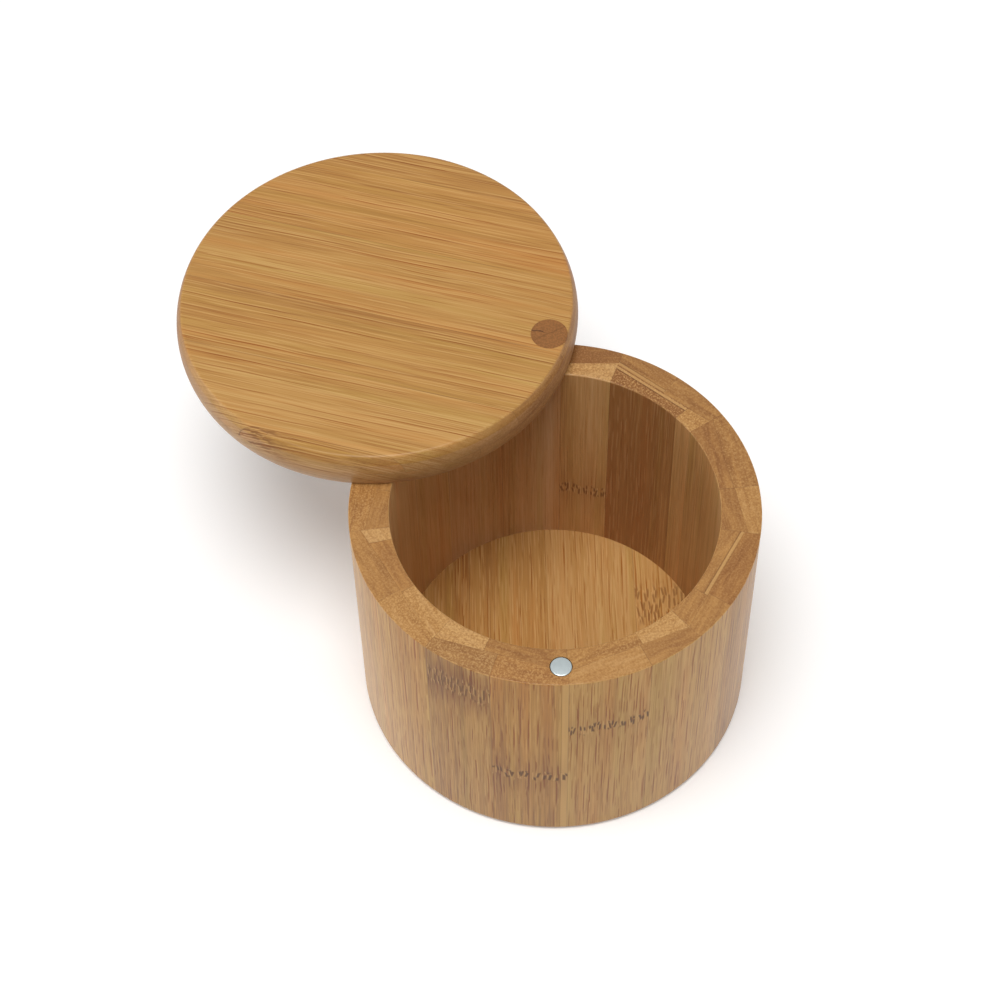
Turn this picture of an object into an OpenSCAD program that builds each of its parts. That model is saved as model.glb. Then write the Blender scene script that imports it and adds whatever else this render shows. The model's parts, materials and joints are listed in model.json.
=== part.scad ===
// Round salt box turned from laminated bamboo, with a lid that swivels on one screw in the rim.
// The box stands on z = 0 with its axis on the origin. The pivot is on +Y and the rim magnet on -Y.

/* [Wall] */
// Outside diameter of the box
body_d = 88.9; // [87:0.1:90]
// Height of the box from its foot to its rim
body_h = 64.3; // [58:0.1:70]
// Diameter of the turned bore
bore_d = 71.4; // [70:0.1:72.4]
// Radius of the rounded foot edge
foot_r = 2.2; // [1:0.1:2.6]
// Distance from the box axis to the flat glue line between the two plies of a stave
ply_r = 38.9; // [38.6:0.1:39.2]

/* [Floor] */
// Thickness of the floor disc
floor_t = 2.2; // [1.8:0.1:3]
// Diameter of the floor disc, seated in a rebate in the inner ply
floor_d = 76.6; // [75:0.1:77]

/* [Lid] */
// Diameter of the flat on top of the lid
lid_flat_d = 87.6; // [87:0.1:88]
// Greatest diameter of the lid, at the belly of its rounded edge
lid_d = 90.4; // [90:0.1:91]
// Thickness of the lid
lid_t = 9; // [8.6:0.1:10]
// Height of the belly of the edge above the lid's underside
belly_h = 3.8; // [3:0.1:4.4]
// Thickness of the lid's lower ply
under_t = 4.4; // [4:0.1:4.8]
// Working gap between the rim and the lid's underside
lid_gap = 0.12; // [0.08:0.01:0.3]
// How far the lid is swung open, clockwise from above
lid_swing = 106.6; // [0:0.1:360]

/* [Pivot] */
// Distance from the axis to the pivot, and on the other side to the magnets
pivot_r = 40; // [39.8:0.1:40.2]
// Diameter of the wooden plug that caps the pivot screw
plug_d = 8.2; // [8:0.1:8.4]
// Depth of the plug
plug_h = 3.2; // [2.8:0.1:3.3]
// Thickness of lid left under the screw head
web_t = 3; // [2.6:0.1:3.1]
// Diameter of the screw head
head_d = 6.8; // [6.4:0.1:7]
// Height of the screw head
head_h = 1.9; // [1.6:0.1:1.9]
// Diameter of the screw's plain shank, which the lid turns on
shank_d = 4; // [3.6:0.1:4.2]
// Radial running clearance between the shank and the lid
running_gap = 0.05; // [0.03:0.01:0.1]
// Diameter of the threaded end, bedded in the wall
thread_d = 3.5; // [3:0.1:3.5]
// Length of the threaded end below the rim
thread_l = 18; // [14:0.5:22]
// Outside diameter of the washer under the screw head
washer_d = 7.4; // [7.2:0.1:7.6]
// Thickness of the washer
washer_t = 0.6; // [0.5:0.05:0.6]

/* [Magnets] */
// Diameter of each disc magnet
magnet_d = 4.8; // [4.4:0.1:5]
// Thickness of each disc magnet
magnet_t = 3; // [2:0.1:3.2]

/* [Hidden] */
$fn = 120;

// Azimuths of the glue joints that go through the whole wall, between one stave and the next
stave_edges = [-173, -129, -88, -49, -11, 32, 68, 108, 149, 187];
// Azimuths of the joints inside each stave: its outer ply, then its inner ply
outer_joints = [[-148.5], [-109.5], [-65], [-36], [5.5], [50], [98], [128], [168]];
inner_joints = [[-168, -147.5], [-114], [-64], [-37], [5.5], [40], [86], [131], [172]];
// Places of the joints in the floor, across its grain
floor_joints = [-19.5, -1, 20];
// Places of the joints in the lid, across its grain: its upper ply, then its lower ply
top_joints = [-41, -22.5, -4.6, 15.5, 35.6];
under_joints = [-31, -11, 9, 29];

// Each wall strip as [first azimuth, last azimuth, azimuth of its stave's middle]
function wall_strips(joints) = [
  for (k = [0:len(joints) - 1])
    let (cuts = concat(stave_edges[k], joints[k], stave_edges[k + 1]))
      for (j = [0:len(cuts) - 2])
        [cuts[j], cuts[j + 1], (stave_edges[k] + stave_edges[k + 1]) / 2]
];
// Each board strip as [near edge, far edge]
function board_strips(joints, reach) =
  let (cuts = concat(-reach, joints, reach))
    [for (j = [0:len(cuts) - 2]) [cuts[j], cuts[j + 1]]];
// A two-figure number, and the names of a row of strips
function two(n) = str(n < 10 ? "0" : "", n);
function names(stem, strips) = [for (i = [1:len(strips)]) str(stem, two(i))];

outer_strips = wall_strips(outer_joints);
inner_strips = wall_strips(inner_joints);
floor_strips = board_strips(floor_joints, floor_d);
top_strips = board_strips(top_joints, lid_d);
under_strips = board_strips(under_joints, lid_d);

body_r = body_d / 2;
bore_r = bore_d / 2;
lid_z = body_h + lid_gap;
// Radius and centre of the arc that rounds the lid's edge
edge_drop = lid_t - belly_h;
edge_inset = (lid_d - lid_flat_d) / 2;
edge_r = (edge_drop * edge_drop + edge_inset * edge_inset) / (2 * edge_inset);
edge_centre = lid_d / 2 - edge_r;
// Wedges that part the staves reach past the wall
wedge_r = body_d;
tip_h = 3;
washer_play = 0.05;
washer_z = web_t + washer_play;
head_z = washer_z + washer_t;
recess_d = 3.2;
recess_h = 1;
cross_w = 0.9;

bamboo = ["#c69a5f", "#b98b52", "#cfa86c", "#b07f49"];
plug_brown = "#8e5f3c";
steel = "#b9bcc0";
magnet_grey = "#cdd6dc";

function bamboo_tone(i) = bamboo[i % len(bamboo)];
function polar(r, a) = [r * cos(a), r * sin(a)];

// The turned wall before it is parted into strips
module wall_blank() {
  rotate_extrude() {
    translate([bore_r, foot_r]) square([body_r - bore_r, body_h - foot_r]);
    translate([bore_r, 0]) square([body_r - bore_r - foot_r, 2 * foot_r]);
    translate([body_r - foot_r, foot_r]) circle(foot_r);
  }
}

// The holes bored in the rim for the magnet and the pivot screw
module rim_holes() {
  translate([0, -pivot_r, body_h - magnet_t]) cylinder(d = magnet_d, h = 2 * magnet_t);
  translate([0, pivot_r, body_h - thread_l]) {
    cylinder(d = thread_d, h = 2 * thread_l);
    translate([0, 0, -tip_h]) cylinder(d1 = 0, d2 = thread_d, h = tip_h);
  }
}

// Outer ply: what lies beyond the stave's flat glue line
module outer_strip(i) {
  from = outer_strips[i][0];
  to = outer_strips[i][1];
  mid = outer_strips[i][2];
  color(bamboo_tone(i)) difference() {
    intersection() {
      wall_blank();
      linear_extrude(body_h) polygon([
        polar(ply_r / cos(from - mid), from), polar(wedge_r, from),
        polar(wedge_r, to), polar(ply_r / cos(to - mid), to)]);
    }
    rim_holes();
  }
}

// Inner ply: what lies between the bore and the flat glue line, rebated for the floor
module inner_strip(i) {
  from = inner_strips[i][0];
  to = inner_strips[i][1];
  mid = inner_strips[i][2];
  color(bamboo_tone(i + 1)) difference() {
    intersection() {
      wall_blank();
      linear_extrude(body_h) polygon([
        [0, 0], polar(ply_r / cos(from - mid), from), polar(ply_r / cos(to - mid), to)]);
    }
    translate([0, 0, -floor_t]) cylinder(d = floor_d, h = 2 * floor_t);
    rim_holes();
  }
}

module floor_strip(i) {
  strip = floor_strips[i];
  color(bamboo_tone(i)) intersection() {
    cylinder(d = floor_d, h = floor_t);
    translate([strip[0], -floor_d, 0]) cube([strip[1] - strip[0], 2 * floor_d, floor_t]);
  }
}

// Puts children drawn about the lid's centre, with the pivot on +X, at the lid's place
module on_lid() {
  translate([0, pivot_r, lid_z]) rotate(90 - lid_swing) translate([-pivot_r, 0, 0]) children();
}

// The turned lid before it is parted into strips
module lid_blank() {
  rotate_extrude() {
    square([edge_centre, lid_t]);
    intersection() {
      translate([edge_centre, belly_h]) circle(edge_r);
      translate([edge_centre, 0]) square([edge_r, lid_t]);
    }
  }
}

// The pivot hole, the well for the screw head and the blind hole for the magnet
module lid_holes() {
  translate([pivot_r, 0, -lid_t]) cylinder(d = shank_d + 2 * running_gap, h = 3 * lid_t);
  translate([pivot_r, 0, web_t]) cylinder(d = plug_d, h = lid_t);
  translate([-pivot_r, 0, -magnet_t]) cylinder(d = magnet_d, h = 2 * magnet_t);
}

module lid_strip(strip, z, h) {
  difference() {
    intersection() {
      lid_blank();
      translate([-lid_d, strip[0], z]) cube([2 * lid_d, strip[1] - strip[0], h]);
    }
    lid_holes();
  }
}

module lid_top_strip(i) {
  color(bamboo_tone(i)) on_lid() lid_strip(top_strips[i], under_t, lid_t - under_t);
}

module lid_under_strip(i) {
  color(bamboo_tone(i + 2)) on_lid() lid_strip(under_strips[i], 0, under_t);
}

module pivot_plug() {
  color(plug_brown) on_lid() intersection() {
    lid_blank();
    translate([pivot_r, 0, lid_t - plug_h]) cylinder(d = plug_d, h = plug_h);
  }
}

module pivot_screw() {
  color(steel) translate([0, pivot_r, lid_z]) {
    difference() {
      translate([0, 0, head_z]) cylinder(d1 = head_d, d2 = head_d * 0.8, h = head_h);
      translate([0, 0, head_z + head_h - recess_h]) {
        translate([-recess_d / 2, -cross_w / 2, 0]) cube([recess_d, cross_w, 2 * recess_h]);
        translate([-cross_w / 2, -recess_d / 2, 0]) cube([cross_w, recess_d, 2 * recess_h]);
      }
    }
    translate([0, 0, -lid_gap]) cylinder(d = shank_d, h = head_z + lid_gap);
    translate([0, 0, -lid_gap - thread_l]) cylinder(d = thread_d, h = thread_l);
    translate([0, 0, -lid_gap - thread_l - tip_h]) cylinder(d1 = 0, d2 = thread_d, h = tip_h);
  }
}

module pivot_washer() {
  color(steel) translate([0, pivot_r, lid_z + washer_z]) difference() {
    cylinder(d = washer_d, h = washer_t);
    translate([0, 0, -washer_t]) cylinder(d = shank_d, h = 3 * washer_t);
  }
}

module rim_magnet() {
  color(magnet_grey) translate([0, -pivot_r, body_h - magnet_t]) cylinder(d = magnet_d, h = magnet_t);
}

module lid_magnet() {
  color(magnet_grey) on_lid() translate([-pivot_r, 0, 0]) cylinder(d = magnet_d, h = magnet_t);
}

for (i = [0:len(outer_strips) - 1])
  outer_strip(i);
for (i = [0:len(inner_strips) - 1])
  inner_strip(i);
for (i = [0:len(floor_strips) - 1])
  floor_strip(i);
for (i = [0:len(top_strips) - 1])
  lid_top_strip(i);
for (i = [0:len(under_strips) - 1])
  lid_under_strip(i);
pivot_plug();
pivot_screw();
pivot_washer();
rim_magnet();
lid_magnet();
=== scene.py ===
import json
import math
import random

import bmesh
import bpy
import numpy as np
from bpy.props import FloatProperty, FloatVectorProperty, IntProperty, PointerProperty
from bpy.types import Operator, Panel, PropertyGroup
from mathutils import Matrix, Vector


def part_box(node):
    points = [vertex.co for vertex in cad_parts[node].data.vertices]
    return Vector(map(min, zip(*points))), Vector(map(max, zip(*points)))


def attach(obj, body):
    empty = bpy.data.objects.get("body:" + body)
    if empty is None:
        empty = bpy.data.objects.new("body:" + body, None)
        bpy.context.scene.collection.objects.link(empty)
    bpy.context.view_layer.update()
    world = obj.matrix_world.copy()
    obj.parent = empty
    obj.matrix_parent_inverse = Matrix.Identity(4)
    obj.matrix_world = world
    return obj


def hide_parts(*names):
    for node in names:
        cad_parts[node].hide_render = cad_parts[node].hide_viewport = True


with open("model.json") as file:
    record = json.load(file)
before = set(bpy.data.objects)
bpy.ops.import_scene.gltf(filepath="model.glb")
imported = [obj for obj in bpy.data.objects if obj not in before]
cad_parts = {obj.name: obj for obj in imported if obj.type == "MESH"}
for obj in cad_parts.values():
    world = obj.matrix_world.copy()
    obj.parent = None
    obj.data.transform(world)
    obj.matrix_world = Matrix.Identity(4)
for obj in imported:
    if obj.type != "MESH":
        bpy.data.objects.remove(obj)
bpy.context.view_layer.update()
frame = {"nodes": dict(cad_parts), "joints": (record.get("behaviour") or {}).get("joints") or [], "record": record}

bl_info = {
    "name": "Swivel-lid salt box",
    "version": (1, 0, 0),
    "blender": (4, 5, 0),
    "location": "3D View > Sidebar > Salt Box",
    "description": "Dresses a turned bamboo salt box and its swivel lid",
    "category": "Object",
}

MM = 0.001
FAR = 99.0

# Points closer than this are one: in a new mesh, on a cutting plane and after a boolean
MERGE = 0.001 * MM
TOUCH = 0.0001 * MM
WELD = 0.002 * MM

# How close a corner is to the ground, or to a flat top, to count as on it
NEAR_GROUND = 0.1 * MM
NEAR_TOP = 0.01 * MM

# Facets round a full turn, and across the lid's side, its eased corner and a magnet's edge
DRUM_STEPS = 72
MAGNET_STEPS = 96
FLOOR_STEPS = 180
LID_STEPS = 288
LID_SIDE_STEPS = 16
LID_CORNER_STEPS = 8
MAGNET_EDGE_STEPS = 4
FOOT_MORE_STEPS = 3

# The pivot's holes in the wall and the lid, and the wood left under the plug's well
SCREW_HOLE_R = 1.75 * MM
SHANK_HOLE_R = 2.05 * MM
WELL_FLOOR = 3 * MM

# The lid's widest place above its underside, and how far a cutting tool goes past what it cuts
BELLY_HEIGHT = 3.8 * MM
OVERSHOOT = 1 * MM

# A strip that ends this close to its board's own edge has no joint there
NO_JOINT = 0.4 * MM

# Corners whose azimuths differ by less lie on the same joint
SAME_TURN = 1e-4

# Edges that turn more than this stay sharp
WOOD_CREASE = math.radians(30)
METAL_CREASE = math.radians(40)

METAL_RELIEF = 0.001 * MM


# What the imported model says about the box

def points_of(mesh):
    """A mesh's corners in metres, as an array."""
    flat = np.empty(len(mesh.vertices) * 3)
    mesh.vertices.foreach_get("co", flat)
    return flat.reshape(-1, 3)


def points(node):
    """A node's corners in metres, as an array."""
    return points_of(frame["nodes"][node].data)


def members(stem):
    """The nodes whose names start with stem, in order."""
    return sorted(name for name in frame["nodes"] if name.startswith(stem))


def all_points(stem):
    return np.concatenate([points(name) for name in members(stem)])


def reach(corners):
    """How far each corner is from the box's axis."""
    return np.hypot(corners[:, 0], corners[:, 1])


OUTER = members("outer_strip")
INNER = members("inner_strip")
FLOOR = members("floor_strip")
LID_TOP = members("lid_top_strip")
LID_UNDER = members("lid_under_strip")

outer_points = all_points("outer_strip")
BODY_R = reach(outer_points).max()
RIM_Z = outer_points[:, 2].max()
FOOT_R = BODY_R - reach(outer_points[outer_points[:, 2] < NEAR_GROUND]).max()
BORE_R = reach(all_points("inner_strip")).min()
FLOOR_R = reach(all_points("floor_strip")).max()
FLOOR_Z = all_points("floor_strip")[:, 2].max()

MAGNET_LOW, MAGNET_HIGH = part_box("rim_magnet")
MAGNET_AT = (MAGNET_LOW + MAGNET_HIGH) / 2
MAGNET_R = (MAGNET_HIGH.x - MAGNET_LOW.x) / 2
PIVOT = Vector(frame["joints"][0]["pos_m"])
LID_MAGNET_LOW, LID_MAGNET_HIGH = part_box("lid_magnet")
LID_MAGNET_AT = (LID_MAGNET_LOW + LID_MAGNET_HIGH) / 2
SCREW_LOW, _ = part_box("pivot_screw")
PLUG_LOW, PLUG_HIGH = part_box("pivot_plug")
PLUG_R = (PLUG_HIGH.x - PLUG_LOW.x) / 2

# The lid's own axes: its centre is midway between the pivot and its magnet, its grain runs to the pivot
LID_CENTRE = Vector(((PIVOT.x + LID_MAGNET_AT.x) / 2, (PIVOT.y + LID_MAGNET_AT.y) / 2, 0))
LID_GRAIN = Vector((PIVOT.x - LID_CENTRE.x, PIVOT.y - LID_CENTRE.y, 0)).normalized()
LID_ACROSS = Vector((-LID_GRAIN.y, LID_GRAIN.x, 0))
LID_LOW_Z = all_points("lid_under_strip")[:, 2].min()
LID_PLY_Z = all_points("lid_under_strip")[:, 2].max()
LID_TOP_Z = all_points("lid_top_strip")[:, 2].max()


def lid_reach(corners):
    return np.hypot(corners[:, 0] - LID_CENTRE.x, corners[:, 1] - LID_CENTRE.y)


lid_points = np.concatenate([all_points("lid_top_strip"), all_points("lid_under_strip")])
LID_R = lid_reach(lid_points).max()
LID_FLAT_R = lid_reach(lid_points[lid_points[:, 2] > LID_TOP_Z - NEAR_TOP]).max()
BELLY_Z = LID_LOW_Z + BELLY_HEIGHT


# Sizes and colours that a user would change

class SaltBoxWood(PropertyGroup):
    pale: FloatVectorProperty(
        name="Pale bamboo", description="Colour of the lightest fibres", subtype="COLOR",
        size=3, min=0, max=1, default=(0.61, 0.355, 0.13))
    honey: FloatVectorProperty(
        name="Honey bamboo", description="Colour of the wood between its streaks", subtype="COLOR",
        size=3, min=0, max=1, default=(0.475, 0.24, 0.066))
    brown: FloatVectorProperty(
        name="Brown bamboo", description="Colour of the darker streaks", subtype="COLOR",
        size=3, min=0, max=1, default=(0.285, 0.12, 0.03))
    scorch: FloatVectorProperty(
        name="Node marks", description="Colour of the dark ticks at a node of the cane", subtype="COLOR",
        size=3, min=0, max=1, default=(0.075, 0.025, 0.006))
    plug: FloatVectorProperty(
        name="Plug", description="Colour of the end grain of the pivot plug", subtype="COLOR",
        size=3, min=0, max=1, default=(0.219, 0.089, 0.025))
    gloss: FloatProperty(
        name="Roughness", description="Roughness of the oiled surface", default=0.4, min=0, max=1,
        subtype="FACTOR")
    relief: FloatProperty(
        name="Grain relief", description="Height of the grain", default=0.016 * MM,
        min=0, max=0.2 * MM, subtype="DISTANCE", unit="LENGTH", precision=6)


class SaltBoxSizes(PropertyGroup):
    rim_ease: FloatProperty(
        name="Rim ease", description="Radius of the eased outer edge of the rim",
        default=0.22 * MM, min=0.05 * MM, max=1 * MM, unit="LENGTH", precision=6)
    bore_ease: FloatProperty(
        name="Bore ease", description="Radius of the eased inner edge of the rim",
        default=0.35 * MM, min=0.05 * MM, max=1 * MM, unit="LENGTH", precision=6)
    lid_ease: FloatProperty(
        name="Lid ease", description="Radius of the eased edge round the lid's flat top",
        default=0.9 * MM, min=0.05 * MM, max=2 * MM, unit="LENGTH", precision=6)
    arc_step: FloatProperty(
        name="Arc step", description="Turn from one facet of a round face to the next",
        default=math.radians(1), min=math.radians(0.5), max=math.radians(5), subtype="ANGLE")
    edge_steps: IntProperty(
        name="Edge steps", description="Facets across a rounded edge", default=5, min=2, max=16)
    magnet_gap: FloatProperty(
        name="Magnet gap", description="Gap round a magnet in its hole",
        default=0.07 * MM, min=0, max=0.3 * MM, unit="LENGTH", precision=6)
    magnet_ease: FloatProperty(
        name="Magnet ease", description="Radius of a magnet's rounded edges",
        default=0.3 * MM, min=0.05 * MM, max=0.8 * MM, unit="LENGTH", precision=6)
    plug_gap: FloatProperty(
        name="Plug gap", description="Gap round the plug in its well",
        default=0.03 * MM, min=0, max=0.2 * MM, unit="LENGTH", precision=6)


class SaltBoxStage(PropertyGroup):
    azimuth: FloatProperty(
        name="Camera azimuth", description="Direction of the camera round the box",
        default=math.radians(-92.29), subtype="ANGLE")
    elevation: FloatProperty(
        name="Camera elevation", description="Height of the camera above the rim, as an angle",
        default=math.radians(55.53), subtype="ANGLE")
    distance: FloatProperty(
        name="Camera distance", description="From the middle of the rim to the camera",
        default=533.4 * MM, min=100 * MM, unit="LENGTH")
    aim_x: FloatProperty(
        name="Aim X", description="Where the camera looks, on the rim's plane",
        default=-11.75 * MM, unit="LENGTH", precision=5)
    aim_y: FloatProperty(
        name="Aim Y", description="Where the camera looks, on the rim's plane",
        default=1.97 * MM, unit="LENGTH", precision=5)
    roll: FloatProperty(
        name="Camera roll", description="Turn of the camera about its own axis",
        default=math.radians(-1.28), subtype="ANGLE")
    lens: FloatProperty(
        name="Lens", description="Focal length on a 36 mm sensor", default=89.32, min=10, max=400)
    ground: FloatProperty(
        name="Ground width", description="Width of the square of ground", default=6.0, min=1,
        max=20, unit="LENGTH")
    ground_drop: FloatProperty(
        name="Ground drop", description="How far below the foot the ground lies",
        default=0.05 * MM, min=0, max=1 * MM, unit="LENGTH", precision=6)
    ground_shade: FloatProperty(
        name="Ground shade", description="Grey of the ground, for the light that it throws back",
        default=0.72, min=0, max=1, subtype="FACTOR")
    ground_seen: FloatProperty(
        name="Ground as seen", description="Grey of the ground, as the camera sees it",
        default=0.95, min=0, max=1, subtype="FACTOR")
    ground_lift: FloatProperty(
        name="Ground lift", description="Light of its own that the camera sees on the ground",
        default=0.1, min=0, max=1)
    sky: FloatProperty(
        name="Room light", description="Strength of the even light from all round",
        default=0.32, min=0, max=3)
    key: FloatProperty(
        name="Key light", description="Power of the large lamp overhead",
        default=65.0, min=0, max=1000, unit="POWER")
    key_at: FloatVectorProperty(
        name="Key light place", description="Where the large lamp hangs", subtype="TRANSLATION",
        size=3, default=(-0.2, -0.58, 2.94), unit="LENGTH")
    key_size: FloatProperty(
        name="Key light size", description="Width of the large lamp", default=1.6, min=0.05,
        max=9, unit="LENGTH")
    left_fill: FloatProperty(
        name="Left fill", description="Power of the low lamp on the left",
        default=26.0, min=0, max=1000, unit="POWER")
    right_fill: FloatProperty(
        name="Right fill", description="Power of the low lamp on the right",
        default=12.0, min=0, max=1000, unit="POWER")
    fill_at: FloatVectorProperty(
        name="Right fill place", description="Where the low lamp on the right stands, mirrored on the left",
        subtype="TRANSLATION", size=3, default=(2.8, 0.0, 0.35), unit="LENGTH")
    fill_size: FloatProperty(
        name="Fill light size", description="Width of the low lamps", default=1.6, min=0.05,
        max=9, unit="LENGTH")


# Mesh helpers

def arc(centre_r, centre_z, radius, start, end, steps):
    """Points (r, z) on a round edge, from one angle to another, in degrees."""
    return [
        (centre_r + radius * math.cos(math.radians(start + (end - start) * k / steps)),
         centre_z + radius * math.sin(math.radians(start + (end - start) * k / steps)))
        for k in range(steps + 1)]


def new_piece(name, data):
    """An object in the scene, for a mesh, a lamp or a camera."""
    piece = bpy.data.objects.new(name, data)
    bpy.context.scene.collection.objects.link(piece)
    return piece


def mesh_from(name, corners, faces):
    """A mesh with its doubled corners merged and its faces turned outward."""
    mesh = bpy.data.meshes.new(name)
    mesh.from_pydata([tuple(c) for c in corners], [], faces)
    shape = bmesh.new()
    shape.from_mesh(mesh)
    bmesh.ops.remove_doubles(shape, verts=shape.verts, dist=MERGE)
    bmesh.ops.recalc_face_normals(shape, faces=shape.faces)
    shape.to_mesh(mesh)
    shape.free()
    return mesh


def swept_ring(name, profile_at, azimuths):
    """A length of ring: the closed (r, z) profile that profile_at gives at each azimuth, with flat ends."""
    corners, faces = [], []
    for azimuth in azimuths:
        for r, z in profile_at(azimuth):
            corners.append((r * math.cos(azimuth), r * math.sin(azimuth), z))
    count = len(corners) // len(azimuths)
    for i in range(len(azimuths) - 1):
        for j in range(count):
            k = (j + 1) % count
            faces.append((i * count + j, i * count + k, (i + 1) * count + k, (i + 1) * count + j))
    last = (len(azimuths) - 1) * count
    faces.append(tuple(range(count)))
    faces.append(tuple(range(last + count - 1, last - 1, -1)))
    return mesh_from(name, corners, faces)


def turned(name, profile, centre, segments):
    """A body of revolution about a vertical line: the (r, z) profile runs from axis to axis."""
    corners, faces = [], []
    for i in range(segments):
        angle = 2 * math.pi * i / segments
        for r, z in profile:
            corners.append((centre.x + r * math.cos(angle), centre.y + r * math.sin(angle), z))
    count = len(profile)
    for i in range(segments):
        n = (i + 1) % segments
        for j in range(count - 1):
            quad = [i * count + j, n * count + j, n * count + j + 1, i * count + j + 1]
            if profile[j][0] == 0:
                quad.remove(n * count + j)
            if profile[j + 1][0] == 0:
                quad.remove(n * count + j + 1)
            faces.append(tuple(quad))
    return mesh_from(name, corners, faces)


def cut_away(mesh, at, outward):
    """Removes what lies beyond a plane and closes the cut."""
    shape = bmesh.new()
    shape.from_mesh(mesh)
    everything = shape.verts[:] + shape.edges[:] + shape.faces[:]
    cut = bmesh.ops.bisect_plane(
        shape, geom=everything, dist=TOUCH, plane_co=at, plane_no=outward, clear_outer=True)
    rim = [e for e in cut["geom_cut"] if isinstance(e, bmesh.types.BMEdge)]
    if rim:
        bmesh.ops.contextual_create(shape, geom=rim)
    bmesh.ops.recalc_face_normals(shape, faces=shape.faces)
    shape.to_mesh(mesh)
    shape.free()


def combine(piece, tool, operation):
    """Cuts piece with tool, or keeps what they share, and leaves a plain mesh."""
    step = piece.modifiers.new("cut", "BOOLEAN")
    step.operation = operation
    step.solver = "EXACT"
    step.object = tool
    graph = bpy.context.evaluated_depsgraph_get()
    result = bpy.data.meshes.new_from_object(piece.evaluated_get(graph))
    piece.modifiers.clear()
    shape = bmesh.new()
    shape.from_mesh(result)
    bmesh.ops.remove_doubles(shape, verts=shape.verts, dist=WELD)
    bmesh.ops.dissolve_degenerate(shape, edges=shape.edges, dist=WELD)
    shape.to_mesh(result)
    shape.free()
    piece.data = result


def drum(at, radius, low, high):
    """A plain cylinder to bore or trim with."""
    profile = [(0, low), (radius, low), (radius, high), (0, high)]
    return new_piece("drum", turned("drum", profile, Vector((at.x, at.y, 0)), DRUM_STEPS))


def discard(piece):
    bpy.data.objects.remove(piece)


def close_to(node, low, high):
    """Whether a CAD node's box meets the box from low to high."""
    node_low, node_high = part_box(node)
    return all(node_low[k] < high[k] and node_high[k] > low[k] for k in range(3))


# How each strip of bamboo looks

class Look:
    """A strip's shade, its warmth, how pale its end grain is, and a node of the cane along its grain.

    node is the node's place along the grain, spread how far its ticks reach from it, stain how far
    it darkens the wood round it and ticks how dark they are. seam is how pale the end grain is along
    the ply line, and fringe the width of a pale edge, in millimetres, beside the strip's second joint.
    """

    def __init__(self, shade=0.0, warmth=0.0, pallor=0.0, node=None, spread=1.5, stain=0.3, ticks=0.8,
                 seam=0.0, fringe=0.0):
        self.shade = shade
        self.warmth = warmth
        self.pallor = pallor
        self.node = node
        self.spread = spread
        self.stain = stain
        self.ticks = ticks
        self.seam = seam
        self.fringe = fringe


LOOKS = {
    "outer_strip_01": Look(0.1, -0.1, 0.1),
    "outer_strip_02": Look(0.05, -0.1, 0.5),
    "outer_strip_03": Look(-0.3, -0.3, 0.5, node=55 * MM, spread=2.8, stain=0.95, ticks=0.6),
    "outer_strip_04": Look(-0.25, 0.1, 0.4, node=24.5 * MM, fringe=1.5),
    "outer_strip_05": Look(0.35, -0.1, 0.2, node=45 * MM),
    "outer_strip_06": Look(0.1, -0.15),
    "outer_strip_07": Look(0.15, -0.1),
    "outer_strip_08": Look(-0.15, 0.1),
    "outer_strip_09": Look(0.2, -0.1, 0.3),
    "outer_strip_10": Look(-0.1, -0.05, 0.2),
    "outer_strip_11": Look(-0.1, -0.05, 0.1),
    "outer_strip_12": Look(-0.1, 0.0, 0.1, seam=0.5),
    "outer_strip_13": Look(-0.4, 0.05),
    "inner_strip_01": Look(0.3, -0.1, 0.8),
    "inner_strip_03": Look(0.1, 0.0, 0.7),
    "inner_strip_04": Look(0.2, 0.0, 1.0),
    "inner_strip_05": Look(-0.1, 0.0, 0.1),
    "inner_strip_06": Look(-0.05, 0.0, 0.3),
    "inner_strip_07": Look(0.2, 0.0, 0.7),
    "inner_strip_08": Look(0.05, 0.0, 0.1),
    "inner_strip_09": Look(0.0, 0.0, 0.1, seam=0.6),
    "inner_strip_10": Look(-0.05),
    "inner_strip_11": Look(-0.2, 0.05),
    "inner_strip_12": Look(-0.1, 0.0, 0.7),
    "inner_strip_13": Look(-0.85, 0.1, 0.7, seam=0.7),
    "inner_strip_14": Look(0.15, 0.0, 1.0, node=20.5 * MM, ticks=0.5),
    # Strips 15 to 19 are lighter and greyer partly as painted light, standing in for bounce light and a pale
    # reflection inside the box
    "inner_strip_15": Look(0.25, -0.35),
    "inner_strip_16": Look(0.3, -0.4),
    "inner_strip_17": Look(0.2, -0.15),
    "inner_strip_18": Look(0.25, -0.15),
    "inner_strip_19": Look(0.2, -0.15),
    # The floor strips' shades are partly painted light: 03 and 04 lighter and 01 and 02 darker, as light falls
    # past the lid onto the floor's right, and all greyer for a pale haze of reflection inside the box
    "floor_strip_01": Look(-0.1, -0.1),
    "floor_strip_02": Look(-0.05, -0.15),
    "floor_strip_03": Look(0.37, -0.2),
    "floor_strip_04": Look(0.42, 0.0, node=13.5 * MM, spread=4.5, stain=0.15, ticks=0.25),
    "lid_top_strip_01": Look(-0.1, 0.1, node=-16 * MM, spread=5, stain=0.3, ticks=0.3),
    "lid_top_strip_02": Look(0.18, -0.1),
    "lid_top_strip_03": Look(-0.03, 0.05),
    "lid_top_strip_04": Look(0.03),
    "lid_top_strip_05": Look(-0.15, 0.15),
    "lid_top_strip_06": Look(-0.05, 0.1),
}


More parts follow.
